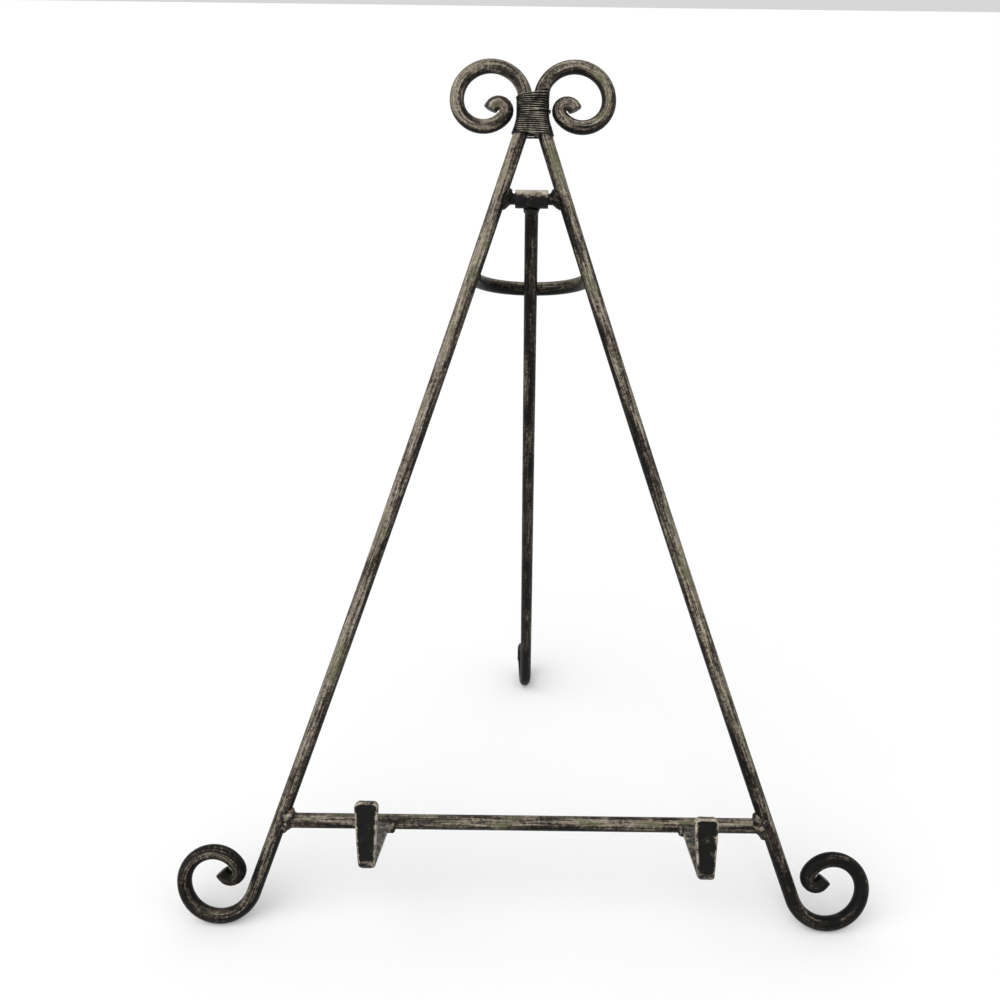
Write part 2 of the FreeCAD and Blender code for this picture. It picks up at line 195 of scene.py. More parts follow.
# %% Side rods
TOUCH = ROD + 0.05 * MM                       # half span where the rods touch
TOUCH_BELOW, TOUCH_ABOVE = 2.5 * MM, 3 * MM   # how far the touch runs from the apex
NECK, NECK_TURN = 16 * MM, 17.73
RUN, RUN_TURN = 11300 * MM, 1.807
SCROLL = ((15.15, 138), (14.4, 46.7), (11.65, 140), (3.5, 188))
FOOT = ((15.6, 157.7), (12.55, 109.5), (12.65, 42.5), (3.5, 172))
SCROLL_TIP, FOOT_TIP = 1.2 * MM, 2.4 * MM


def side_rod(side):
    rod = Rod(ROD, (side * TOUCH, 0, 0), -UP, BEHIND)
    rod.straight(TOUCH_BELOW, 1.2 * MM).bend(NECK, NECK_TURN, -side)
    rod.bend(RUN, RUN_TURN, -side, step=3 * MM)
    for radius, turn in FOOT:
        rod.bend(radius * MM, turn, -side)
    rod.straight(FOOT_TIP, 0.8 * MM)
    rod.other_way(UP).straight(TOUCH_ABOVE, 1.2 * MM)
    for radius, turn in SCROLL:
        rod.bend(radius * MM, turn, side)
    rod.straight(SCROLL_TIP, 0.8 * MM)
    rod.close((rod.ring, rod.last))
    return rod.bm


side_rods = []
for side, word in ((-1, "left"), (1, "right")):
    rod = finished(word + "_scrolled_rod", side_rod(side), flat)
    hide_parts(word + "_side_rod")
    side_rods.append(rod)

# %% [markdown]
# ## Stop bow and crossbar
#
# The same bar again. The bow is half a ring standing out of the frame's back, just far enough
# to meet the open leg, and tipped so that its ends are a little higher than its middle. It is
# bent from its middle both ways. The crossbar is a plain length between the rods.

# %% Bow and crossbar
LEG_OPEN, LEG_RADIUS, STOP_GAP = math.radians(32), 3.0 * MM, 0.3 * MM
BOW_DROP, BOW_RADIUS, BOW_TILT = 75.4 * MM, 24.3 * MM, math.radians(4.5)
BOW_DEPTH = (ROD + LEG_RADIUS + STOP_GAP + (BOW_DROP - HINGE_DROP) * math.sin(LEG_OPEN)
             ) / math.cos(LEG_OPEN)
BOW_HALF = BOW_RADIUS + 1 * MM
BOW_END_DROP = BOW_DROP - (BOW_DEPTH - ROD) * math.sin(BOW_TILT)
BAR_DROP, BAR_HALF = 313.3 * MM, 101.8 * MM


def stop_bow():
    axis = Vector((0, math.sin(BOW_TILT), math.cos(BOW_TILT)))
    rod = Rod(ROD, (0, BOW_DEPTH, -BOW_DROP), ACROSS, axis)
    side = (BOW_DEPTH - ROD - 0.4 * MM) / math.cos(BOW_TILT) - BOW_RADIUS
    rod.straight(1 * MM, 1 * MM).bend(BOW_RADIUS, 90, -1).straight(side, 1 * MM)
    rod.other_way(-ACROSS)
    rod.straight(1 * MM, 1 * MM).bend(BOW_RADIUS, 90, 1).straight(side, 1 * MM)
    rod.close((rod.ring, rod.last), 0.3 * MM)
    return rod.bm


def crossbar():
    rod = Rod(ROD, (0, 0, -BAR_DROP), ACROSS, UP)
    rod.straight(BAR_HALF).other_way(-ACROSS).straight(BAR_HALF)
    rod.close((rod.ring, rod.last), 0.3 * MM)
    return rod.bm


bow = finished("stop_bow_rod", stop_bow(), flat)
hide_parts("leg_stop_bow")
bar = finished("crossbar_rod", crossbar(), flat)
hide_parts("ledge_crossbar")
print("bow stands out", round(BOW_DEPTH / MM, 1), "mm")

# %% [markdown]
# ## Back leg
#
# A thinner bar that hangs from the hinge, splayed back from plumb, whose foot curls back and
# up where it meets the floor. A curl bent by hand drifts a little to one side, so its points
# are moved over in step with how far along the curl they are.

# %% Back leg
SPLAY = LEG_OPEN - LEAN
LEG_START = 4.1 * MM                          # the outside of the sleeve
CURL, CURL_TURN, CURL_TIP, CURL_TIP_TURN = 9.5 * MM, 215, 5.6 * MM, 120
CURL_DRIFT = 1.9 * MM


def back_leg():
    down = Matrix.Rotation(SPLAY, 3, "X") @ -UP
    height = hinge.z - LEG_RADIUS - CURL * (1 - math.sin(SPLAY))
    length = height / math.cos(SPLAY) - LEG_START
    rod = Rod(LEG_RADIUS, hinge + down * LEG_START, down, ACROSS)
    rod.straight(length).bend(CURL, CURL_TURN, 1).bend(CURL_TIP, CURL_TIP_TURN, 1)
    for vert in rod.bm.verts:
        curled = max(0.0, vert[rod.place].z - length) / (rod.along - length)
        vert.co.x -= CURL_DRIFT * min(1.0, 1.6 * curled)
    rod.close((rod.ring, rod.first), 0.4 * MM)
    return rod.bm


leg = finished("leg_rod", back_leg())
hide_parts("back_leg")
print("leg foot at", round(min(v.co.z for v in leg.data.vertices) / MM, 3), "mm")

# %% [markdown]
# ## Ledge lips
#
# A lip is flat bar: an arm runs forward from the crossbar, turns up, and is hammered a
# little wider toward its top. A rectangle is extruded along the arm, spun round the bend
# and extruded up; then its top corners and all its edges are rounded with bevels. Its
# long faces are cut finer afterwards, so that each point can keep how near an edge it is.
# The two differ a little in height and in how far their arms dip.

# %% Bending the strip
ARM_REACH, ARM_THICK, ARM_WIDTH, ARM_ROOT = 47.0 * MM, 3.2 * MM, 7.8 * MM, 3.3 * MM
OUTER = 3.8 * MM                              # the bend's outer radius
# across, height and dip in degrees
LIPS = {"left": (-61.4 * MM, 27.1 * MM, 0.6), "right": (72.6 * MM, 26.0 * MM, 4.4)}


def bent_strip(top):
    """The plain bent bar, with the crossbar's centre as origin."""
    bm = bmesh.new()
    made = bmesh.ops.create_grid(bm, x_segments=1, y_segments=1, size=0.5,
                                 matrix=Matrix.Rotation(math.radians(90), 4, "X"))
    bmesh.ops.scale(bm, vec=(ARM_WIDTH, 1, ARM_THICK), verts=made["verts"])
    bmesh.ops.translate(bm, vec=(0, -ARM_ROOT, 0), verts=made["verts"])
    front = bm.faces[:]

    def grow(length, way):
        made = bmesh.ops.extrude_face_region(bm, geom=front)["geom"]
        verts = [item for item in made if isinstance(item, bmesh.types.BMVert)]
        bmesh.ops.translate(bm, vec=way * length, verts=verts)
        return [item for item in made if isinstance(item, bmesh.types.BMFace)]

    front = grow(ARM_REACH - ARM_ROOT - OUTER, -BEHIND)
    corner = Vector((0, -ARM_REACH + OUTER, -ARM_THICK / 2 + OUTER))
    made = bmesh.ops.spin(bm, geom=front, cent=corner, axis=(-1, 0, 0), steps=7,
                          angle=math.radians(90), use_duplicate=False)
    bmesh.ops.delete(bm, geom=front, context="FACES_ONLY")
    front = [item for item in made["geom_last"] if isinstance(item, bmesh.types.BMFace)]
    grow(top + ARM_THICK / 2 - OUTER, UP)
    return bm


# %% Flaring the lip and rounding its edges
HEEL_WIDTH, TOP_WIDTH, ROOT_WIDTH = 0.84, 1.25, 0.93   # as parts of the arm's width
TAPER, TAPER_AT, TAPER_SPREAD = 0.34, 20, 18           # of the heel, at degrees round the bend


def flare(bm, top):
    """Widens the lip toward its top, and narrows the heel of the bend."""
    low = -ARM_THICK / 2 + 1.2 * MM
    for vert in bm.verts:
        ahead, under = -ARM_REACH + OUTER - vert.co.y, OUTER - ARM_THICK / 2 - vert.co.z
        if ahead > OUTER - ARM_THICK - 0.1 * MM and vert.co.z > low:
            up_the_lip = (vert.co.z - low) / (top - low)
            vert.co.x *= HEEL_WIDTH + (TOP_WIDTH - HEEL_WIDTH) * up_the_lip
        else:
            vert.co.x *= HEEL_WIDTH if ahead > 0 else ROOT_WIDTH
        if math.hypot(ahead, under) > 3 * MM and ahead > -1e-6 and under > -1e-6:
            round_the_bend = math.degrees(math.atan2(ahead, under))
            off_heel = (round_the_bend - TAPER_AT) / TAPER_SPREAD
            vert.co.x *= 1 - TAPER * math.exp(-off_heel ** 2)


def round_edges(bm, top):
    """Rounds the lip's two top corners, and then eases every sharp edge."""
    tip = [edge for edge in bm.edges if all(v.co.z > top - 1e-6 for v in edge.verts)
           and abs(edge.verts[0].co.x - edge.verts[1].co.x) < 1e-6]
    bmesh.ops.bevel(bm, geom=tip, offset=2.3 * MM, affect="EDGES", segments=5, profile=0.5,
                    material=-1)
    sharp = [edge for edge in bm.edges if edge.calc_face_angle(0) > math.radians(50)]
    bmesh.ops.bevel(bm, geom=sharp, offset=0.62 * MM, affect="EDGES", segments=3, profile=0.5,
                    material=-1)


# %% Lips
LIP_SET, LIP_CANT = 0.45 * MM, 0.015          # a hair left of centre, more so up the lip


def ledge_lip(height):
    top = height - ARM_THICK / 2
    bm = bent_strip(top)
    flare(bm, top)
    round_edges(bm, top)
    for _ in range(5):
        long = [edge for edge in bm.edges if edge.calc_length() > 1.1 * MM]
        bmesh.ops.subdivide_edges(bm, edges=long, cuts=1, use_grid_fill=True)
        bmesh.ops.triangulate(bm, faces=[face for face in bm.faces if len(face.verts) > 4])
    worn = bm.verts.layers.float.new("worn")
    bm.normal_update()
    for vert in bm.verts:
        flat_face = max(abs(n) for n in vert.normal) > 0.995
        arm = 0.62 if vert.co.y > -ARM_REACH + ARM_THICK + 1.0 * MM else 0.0
        rim = 0.0 if flat_face else 0.6 + 0.5 * min(1.0, max(0.0, vert.co.z / (8 * MM)))
        vert[worn] = max(arm, rim)
        vert.co += vert.normal * noise.noise(vert.co * 420) * 0.12 * MM
    return bm


lips = []
for word, (x, height, dip) in LIPS.items():
    bm = ledge_lip(height)
    for vert in bm.verts:
        vert.co.x -= LIP_SET + LIP_CANT * vert.co.z
    place = Matrix.Translation((x, 0, -BAR_DROP)) @ Matrix.Rotation(math.radians(dip), 4, "X")
    lip = finished(word + "_flared_lip", bm, flat @ place)
    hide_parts(word + "_ledge_lip")
    lips.append(lip)

# %% [markdown]
# ## Hinge sleeve and pin
#
# The sleeve is a short offcut of tube with its sawn ends barely eased. Its wall is a
# rectangle spun about the hinge. The pin inside it is bar, seen only beside the sleeve.

# %% Sleeve and pin
BORE, WALL, SLEEVE_LENGTH = 2.58 * MM, 1.47 * MM, 14.5 * MM
PIN, PIN_HALF = 2.5 * MM, 10.2 * MM


def hinge_sleeve():
    bm = bmesh.new()
    made = bmesh.ops.create_grid(bm, x_segments=12, y_segments=1, size=0.5)
    bmesh.ops.scale(bm, vec=(SLEEVE_LENGTH, WALL, 1), verts=made["verts"])
    bmesh.ops.translate(bm, vec=(0, BORE + WALL / 2, 0), verts=made["verts"])
    bmesh.ops.spin(bm, geom=bm.faces[:], cent=(0, 0, 0), axis=ACROSS, use_merge=True,
                   angle=math.tau, steps=40, use_duplicate=False)
    inside = [face for face in bm.faces if all(len(edge.link_faces) > 2 for edge in face.edges)]
    walls = [face for face in bm.faces
             if max(v.co.x for v in face.verts) - min(v.co.x for v in face.verts) > 1e-6
             and len({round(math.hypot(v.co.y, v.co.z), 6) for v in face.verts}) > 1]
    bmesh.ops.delete(bm, geom=walls + inside, context="FACES")
    rims = [edge for edge in bm.edges if len(edge.link_faces) == 2
            and edge.calc_face_angle(0) > math.radians(50)]
    bmesh.ops.bevel(bm, geom=rims, offset=0.3 * MM, affect="EDGES", segments=2, profile=0.5,
                    material=-1)
    return bm


def hinge_pin():
    rod = Rod(PIN, (0, 0, 0), ACROSS, UP)
    rod.straight(PIN_HALF, 2 * MM).other_way(-ACROSS).straight(PIN_HALF, 2 * MM)
    rod.close((rod.ring, rod.last), 0.25 * MM)
    return rod.bm


at_hinge = flat @ Matrix.Translation((0, 0, -HINGE_DROP))
sleeve = finished("sleeve_tube", hinge_sleeve(), at_hinge)
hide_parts("hinge_sleeve")
pin = finished("pin_rod", hinge_pin(), at_hinge)
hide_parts("hinge_pin")

# %% [markdown]
# ## Where a rod is at any height
#
# The wire and the welds sit on the side rods, so they need the rods' distance from the centre
# line at any drop. The rods are arcs end to end, so it comes from the circle each one is on.

# %% Half span of the rods
def half_span(drop):
    below, above = drop - TOUCH_BELOW, -drop - TOUCH_ABOVE
    if above > 0:
        shoulder = SCROLL[0][0] * MM
        return TOUCH + shoulder - math.sqrt(shoulder ** 2 - above ** 2)
    if below <= 0:
        return TOUCH
    turn = math.radians(NECK_TURN)
    if below < NECK * math.sin(turn):
        return TOUCH + NECK - math.sqrt(NECK ** 2 - below ** 2)
    centre = TOUCH + NECK * (1 - math.cos(turn)) + RUN * math.cos(turn)
    side = RUN * math.sin(turn) + below - NECK * math.sin(turn)
    return centre - math.sqrt(RUN ** 2 - side ** 2)


print("half span at the hinge", round(half_span(HINGE_DROP) * 1000, 2), "mm")

# %% [markdown]
# ## Binding wire
#
# The wire is wound by hand: the first turns slant over the shoulders of the rods, the rest pack
# down level, one more rides back over the top, and the end is tucked out as a small loop. A
# round wire along one line of points is a curve with a bevel, made a mesh.

# %% One turn round the rods
WIRE = 0.43 * MM                              # the wire's radius


def round_the_rods(turn, drop, slant=0.0, over=0.0):
    """A point of the winding: two half circles and two straights, in one turn."""
    half = half_span(drop)
    radius = (ROD + 0.12 * MM + WIRE + over) * (1 + 0.02 * max(0, drop / (14 * MM)))
    arc, lap = math.pi * radius, 2 * (math.pi * radius + 2 * half)
    along = (turn % 1.0) * lap
    side = 1
    if along >= lap / 2:
        along, side = along - lap / 2, -1
    if along < arc:
        angle = along / radius - math.pi / 2
        x, y = half + radius * math.cos(angle), radius * math.sin(angle)
    else:
        x, y = half - (along - arc), radius
    x, y = x * side, y * side
    # hand winding: each half turn slants, and wanders a tenth of a millimetre
    rise = slant * x / (7 * MM) + 0.12 * MM * noise.noise(Vector((turn * 1.7, side * 3.1, 4)))
    return Vector((x, y, -drop + rise))


# %% Winding, crossing and tail
PER_TURN, TURNS = 26, 19.6
WIRE_TOP, PITCH = -6.2 * MM, 0.94 * MM


def winding():
    """The whole wrap, slanting and domed at its first turns and then level."""
    points = []
    for index in range(int(TURNS * PER_TURN)):
        turn = index / PER_TURN
        drop = WIRE_TOP + PITCH * turn
        slant = 1.5 * MM * math.exp(-turn / 2.2) + 0.1 * MM * math.sin(turn * 0.9)
        dome = 0.5 * MM * math.exp(-turn / 2.5)
        spot = round_the_rods(turn, drop, slant)
        spot.z += dome * (1 - (spot.x / (7 * MM)) ** 2)
        points.append(spot)
    return points


def crossing():
    """A turn that rides over the ones below it and is tucked under."""
    points, last = [], 33
    for index in range(last + 1):
        turn = 0.5 + index / PER_TURN
        rise = math.sin(math.pi * index / last)
        points.append(round_the_rods(turn, (1.2 + 2.4 * index / last) * MM, 0.8 * MM,
                                     (rise * 1.25 - 0.55) * MM))
    return points


def tail():
    """The cut end, tucked out below the wrap as a small loop."""
    bottom = Vector((0.8 * MM, -4.2 * MM, -12.1 * MM))
    return [bottom + Vector(step) * MM for step in
            ((-3.2, 0.5, 0.5), (-2.0, 0.0, 0.1), (-0.6, -0.2, -0.35), (0.9, -0.2, -0.45),
             (2.1, 0.0, -0.85), (2.2, 0.3, -1.5), (1.2, 0.4, -1.55), (-0.2, 0.4, -1.0),
             (-1.2, 0.7, -0.4))]


# %% Binding wire
def wire_mesh(name, lines):
    """Round wire along smooth lines of points, as a mesh."""
    curve = bpy.data.curves.new(name, "CURVE")
    curve.dimensions = "3D"
    curve.bevel_depth, curve.bevel_resolution, curve.use_fill_caps = WIRE, 2, True
    curve.resolution_u = 3
    for points in lines:
        spline = curve.splines.new("NURBS")
        spline.points.add(len(points) - 1)
        for point, place in zip(spline.points, points):
            point.co = (*place, 1.0)
        spline.order_u, spline.use_endpoint_u = 3, True
    shape = bpy.data.objects.new(name + "_line", curve)
    bpy.context.scene.collection.objects.link(shape)
    mesh = bpy.data.meshes.new_from_object(shape)
    bpy.data.objects.remove(shape)
    bm = bmesh.new()
    bm.from_mesh(mesh)
    bmesh.ops.remove_doubles(bm, verts=bm.verts, dist=1e-6)
    return bm


binding = finished("wound_wire", wire_mesh("wire", [winding(), crossing(), tail()]), flat)
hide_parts("binding_wire")
print("wire turns", TURNS, "at", round(PITCH / MM, 2), "mm")

# %% [markdown]
# ## Weld beads
#
# A hand-laid weld is a chain of puddles that froze into each other, wide where it wets the rod
# and narrow on the bar. Each bead here is rows of small spheres, fused by a voxel remesh,
# smoothed so the puddles melt together, and then roughened along its normals.

# %% Fusing puddles of weld
VOXEL = 0.26 * MM


def fused(puddles, seed):
    """One lumpy solid from spheres given as (centre, radius)."""
    bm = bmesh.new()
    for centre, radius in puddles:
        bmesh.ops.create_icosphere(bm, subdivisions=3, radius=radius,
                                   matrix=Matrix.Translation(centre))
    rough = finished("puddles", bm)
    mod = rough.modifiers.new("fuse", "REMESH")
    mod.mode, mod.voxel_size = "VOXEL", VOXEL
    mesh = bpy.data.meshes.new_from_object(
        rough.evaluated_get(bpy.context.evaluated_depsgraph_get()))
    bpy.data.objects.remove(rough)
    bm = bmesh.new()
    bm.from_mesh(mesh)
    for _ in range(8):
        bmesh.ops.smooth_vert(bm, verts=bm.verts, factor=0.5, use_axis_x=True, use_axis_y=True,
                              use_axis_z=True)
    bm.normal_update()
    for vert in bm.verts:
        lump = noise.noise(vert.co * 520 + Vector((seed, 0, 0)))
        pit = noise.noise(vert.co * 1500 + Vector((0, seed, 0)))
        vert.co += vert.normal * (lump * 0.35 + pit * 0.12) * MM
    return bm


# %% Rows of puddles
# each row's ring, as a part of the bar's radius, and its puddles' radius in mm
FLARE = ((1.3, 1.35), (1.12, 1.3), (0.98, 1.1), (0.9, 0.9))
COLLAR = ((1.0, 0.95), (0.95, 0.8))
IN_A_ROW = 14


def fillet(root, along, rod_way, bar, length, seed, rows=FLARE, spread=1.3):
    """Puddles that spread along the rod at the root and narrow onto the bar."""
    along, rod_way = Vector(along).normalized(), Vector(rod_way).normalized()
    across = along.cross(rod_way)
    puddles = []
    for row, (ring, size) in enumerate(rows):
        for index in range(IN_A_ROW):
            angle = math.tau * index / IN_A_ROW + 0.35 * row + seed
            wobble = noise.noise_vector(Vector((index * 0.9, seed * 7.7 + row * 0.6, 2)))
            longer = spread if row == 0 else (1 + spread) / 2 if row == 1 else 1.0
            spot = (Vector(root) + along * (length * row / (len(rows) - 1) + wobble.y * 0.3 * MM)
                    + (rod_way * math.cos(angle) * longer + across * math.sin(angle)) * bar * ring)
            puddles.append((spot, size * (1 + 0.3 * wobble.x) * MM))
    return puddles


# %% Laying the beads
ROD_SLOPE = math.radians(18.3)


def weld(name, node, puddles, seed=1.0):
    piece = finished(name, fused(puddles, seed), flat)
    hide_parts(node)
    return piece


def rod_slope(side):
    """The way a side rod runs, going up the frame."""
    return Vector((-side * math.sin(ROD_SLOPE), 0, math.cos(ROD_SLOPE)))


welds = []
for side, word in ((-1, "left"), (1, "right")):
    inner = half_span(HINGE_DROP) - ROD * 1.02
    welds.append(weld("pin_bead_" + word, "hinge_pin_weld_" + word, fillet(
        (side * inner, 0, -HINGE_DROP), (-side, 0, 0), rod_slope(side), 2.2 * MM, 1.9 * MM,
        side + 3)))
    inner = half_span(BAR_DROP) - ROD * 1.02
    puddles = fillet((side * inner, 0, -BAR_DROP), (-side, 0, 0), rod_slope(side), 2.7 * MM,
                     2.4 * MM, side + 5)
    puddles += [(Vector((side * (inner + 1.0 * MM), -2.9 * MM, 2.2 * MM - BAR_DROP)), 1.9 * MM),
                (Vector((side * (inner - 1.8 * MM), -2.6 * MM, 2.3 * MM - BAR_DROP)), 1.6 * MM)]
    welds.append(weld("bar_bead_" + word, "crossbar_weld_" + word, puddles, side + 5))
    welds.append(weld("bow_bead_" + word, "bow_weld_" + word, fillet(
        (side * BOW_HALF, 3.5 * MM, -BOW_END_DROP), BEHIND, rod_slope(side), 2.55 * MM, 1.1 * MM,
        side + 7, COLLAR, 1.0)))
    lip_root = Vector((LIPS[word][0], -3.9 * MM, -BAR_DROP - 1.9 * MM))
    puddles = [(lip_root + Vector((step * 1.35 * MM, noise.noise(Vector((step, side, 5))) * MM,
                                   noise.noise(Vector((step, side, 9))) * 0.8 * MM)), 1.7 * MM)
               for step in range(-3, 4)]
    puddles += [(lip_root + Vector((x * MM, 0.4 * MM, 1.5 * MM)), 1.5 * MM) for x in (4.6, -4.6)]
    welds.append(weld("lip_bead_" + word, "lip_weld_" + word, puddles, side + 9))
leg_way = Matrix.Rotation(LEG_OPEN, 3, "X") @ -UP
leg_bead = weld("leg_bead", "leg_weld", fillet(
    leg_way * 4.2 * MM + Vector((0, 0, -HINGE_DROP)), leg_way, ACROSS, 2.7 * MM, 1.3 * MM, 4.0,
    COLLAR, 1.05))
print(len(welds) + 1, "beads")

# %% [markdown]
# ## Which body each piece rides on
#
# The leg, its sleeve and the weld between them swing on the pin; all the rest is the frame.

# %% Bodies
swinging = [leg, sleeve, leg_bead]
standing = side_rods + [bow, bar, pin, binding] + lips + welds
for piece in swinging:
    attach(piece, "leg")
for piece in standing:
    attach(piece, "frame")
print(len(standing), "pieces stand and", len(swinging), "swing")

# %% [markdown]
# ## Where the bronze was rubbed on, and where light and shade are painted
#
# The iron is blackened all over, then antique bronze is rubbed on by hand. It takes on the sides
# that face out of the easel. The same mask paints light: the sides turned up and forward, toward
# the lamp, are painted lighter, and the hollows and undersides are left in painted shade. Each
# point keeps how far it faces the rubbing hand and the light.

# %% Marking the rubbed and lit sides
def rubbed_and_lit_toward(piece, *directions):
    """Stores how far each point faces the nearest of the directions, from -1 to 1."""
    ways = [(tilt.to_3x3() @ Vector(way)).normalized() for way in directions]
    layer = piece.data.attributes.new("rubbed_and_lit", "FLOAT", "POINT")
    for item, normal in zip(layer.data, piece.data.vertex_normals):
        item.value = max(way.dot(normal.vector) for way in ways)


for side, rod in zip((-1, 1), side_rods):
    rubbed_and_lit_toward(rod, (side * 0.45, -1.0, 0.35), (side * 0.3, 1.0, 0.3))
for piece in (bar, pin, binding, leg, leg_bead, *welds, *lips):
    rubbed_and_lit_toward(piece, (0, -0.8, 0.75), (0, 0.9, 0.5))
# the sleeve and the bow face straight up: painted light on their tops, painted shade underneath
for piece in (bow, sleeve):
    rubbed_and_lit_toward(piece, (0, -0.35, 1))
print("rubbed sides marked on", len(standing) + len(swinging), "pieces")

# %% [markdown]
# ## Writing shader maths as expressions
#
# A finish is a sum of noises and masks. One small class wraps a node's socket, so that
# a + b, a * b and 1 - a each add the Math node they mean; every other node comes from one method.

# %% A socket that can be added and multiplied
class Wired:
    """An output socket, on the board it belongs to."""

    def __init__(self, board, socket):
        self.board, self.socket = board, socket

    def maths(self, operation, *values):
        return self.board.node("ShaderNodeMath", {"operation": operation},
                               dict(enumerate(values)))

    def __add__(self, other): return self.maths("ADD", self, other)
    def __radd__(self, other): return self.maths("ADD", other, self)
    def __sub__(self, other): return self.maths("SUBTRACT", self, other)
    def __rsub__(self, other): return self.maths("SUBTRACT", other, self)
    def __mul__(self, other): return self.maths("MULTIPLY", self, other)
    def __rmul__(self, other): return self.maths("MULTIPLY", other, self)

    def fade(self, low, high):
        """0 below low, 1 above high, smooth between."""
        return self.board.node("ShaderNodeMapRange", {"interpolation_type": "SMOOTHSTEP"},
                               {"Value": self, "From Min": low, "From Max": high})


# %% A board of nodes
class Board:
    """One material's node board, with a Principled shader."""

    def __init__(self, name):
        self.material = bpy.data.materials.new(name)
        self.material.use_nodes = True
        self.nodes = self.material.node_tree.nodes
        self.links = self.material.node_tree.links
        self.shader = self.nodes["Principled BSDF"]

    def feed(self, node, name, value):
        """Sets a socket to a value, or links another socket to it."""
        if isinstance(value, Wired):
            self.links.new(value.socket, node.inputs[name])
        else:
            node.inputs[name].default_value = value

    def node(self, kind, settings=None, sockets=None, output=0):
        """Any node: its settings first, then its sockets; gives back one output."""
        made = self.nodes.new(kind)
        for name, value in (settings or {}).items():
            setattr(made, name, value)
        for name, value in (sockets or {}).items():
            self.feed(made, name, value)
        return Wired(self, made.outputs[output])

    def set(self, name, value):
        self.feed(self.shader, name, value)

    def noise(self, place, scale, stretch=(1, 1, 1), shift=(0, 0, 0), detail=3.0, rough=0.55):
        spot = self.node("ShaderNodeMapping", None,
                         {"Vector": place, "Scale": stretch, "Location": shift})
        return self.node("ShaderNodeTexNoise", {"noise_dimensions": "3D"},
                         {"Vector": spot, "Scale": scale, "Detail": detail,
                          "Roughness": rough}, "Fac")

    def mix(self, factor, first, second):
        return self.node("ShaderNodeMix", {"data_type": "RGBA"},
                         {0: factor, 6: first, 7: second}, 2)

    def bump(self, height, distance, strength):
        return self.node("ShaderNodeBump", None,
                         {"Height": height, "Distance": distance, "Strength": strength})


# %% Colours of the finish
BLACK = (0.004, 0.0038, 0.0035, 1)
BROWN = (0.045, 0.034, 0.026, 1)
TAUPE = (0.235, 0.200, 0.156, 1)
OLIVE = (0.115, 0.112, 0.068, 1)
# cream: bright wear, and painted highlights on the lit sides
CREAM_WEAR_AND_HIGHLIGHT = (0.50, 0.46, 0.38, 1)

# %% [markdown]
# ## Rubbed bronze on round bar
#
# Long fine streaks along the bar are the rubbing strokes, broader patches drift between
# taupe, brown and a green tinge, and specks of black show through the grain of the scale.
# Each noise is centred on zero and given its own weight, so their sum can be tuned.
# The bronze is thinner toward the foot of each rod, and each bar has taken a little more or less
# of it than the next.

# %% Finish: rubbed bronze
def rubbed_bronze(name, shift, amount):
    board = Board(name)
    place = board.node("ShaderNodeAttribute", {"attribute_name": "rod_space"}, None, "Vector")
    lit_side_facing = board.node("ShaderNodeAttribute", {"attribute_name": "rubbed_and_lit"}, None, "Fac")
    solid = board.node("ShaderNodeTexCoord", None, None, "Object")
    stroke = board.noise(place, 1.0, (1600, 1600, 60), shift, 4.0, 0.65) - 0.5
    band = board.noise(place, 1.0, (430, 430, 30), shift, 3.0, 0.55) - 0.5
    patch = board.noise(place, 1.0, (170, 170, 62), shift, 3.0) - 0.5
    grain = board.noise(solid, 2300, detail=2.0, rough=0.65) - 0.5
    pits = board.noise(solid, 650, detail=5.0, rough=0.7) - 0.5
    along = board.node("ShaderNodeSeparateXYZ", None, {"Vector": place}, "Z")
    foot = along.fade(0.24, 0.38)
    # the facing mask paints light on the lit sides and shade on the undersides, together with the
    # rubbed bronze; cover, under and the cream streaks all follow it
    rub_and_light_reach = lit_side_facing * 1.0 + band * 2.6 + patch * 2.0 + amount - foot * 0.62 - 0.16
    cover = (rub_and_light_reach + stroke * 3.4 + grain * 1.9 + pits * 2.4).fade(0.25, 1.1)
    under = (rub_and_light_reach + pits * 2.0 + stroke + 0.35).fade(0.0, 0.8)
    warm = board.mix((patch + band * 0.6).fade(0.03, 0.16), TAUPE, OLIVE)
    warm = board.mix((band * -1.0 + grain * 0.4).fade(0.0, 0.2) * 0.55, warm, BROWN)
    colour = board.mix(under * 0.6, BLACK, BROWN)
    colour = board.mix(cover, colour, warm)
    # cream streaks: worn bronze, and painted highlights on the sides facing the lamp
    cream_wear_and_highlight = (stroke * 1.9 + grain * 1.2 + pits * 1.2).fade(0.10, 0.5) * rub_and_light_reach.fade(0.25, 1.0)
    colour = board.mix(cream_wear_and_highlight * 0.8, colour, CREAM_WEAR_AND_HIGHLIGHT)
    board.set("Base Color", colour)
    board.set("Metallic", 0.0)
    board.set("Specular IOR Level", 0.08)
    board.set("Roughness", 0.38 + grain * 0.6 + cover * 0.1)
    height = stroke * 0.6 + pits * 0.9 + grain * 0.4
    board.set("Normal", board.bump(height, 0.2 * MM, 0.8))
    return board.material


bronzed = list(zip(side_rods + [bow, bar, leg], (0.1, -0.08, -0.05, -0.1, -0.2)))
for index, (piece, amount) in enumerate(bronzed):
    piece.data.materials.append(rubbed_bronze("rubbed_bronze_%d" % (index + 1),
                                              (index * 3.7, index * 1.9, index * 2.3), amount))
print(len(bronzed), "bars in rubbed bronze")
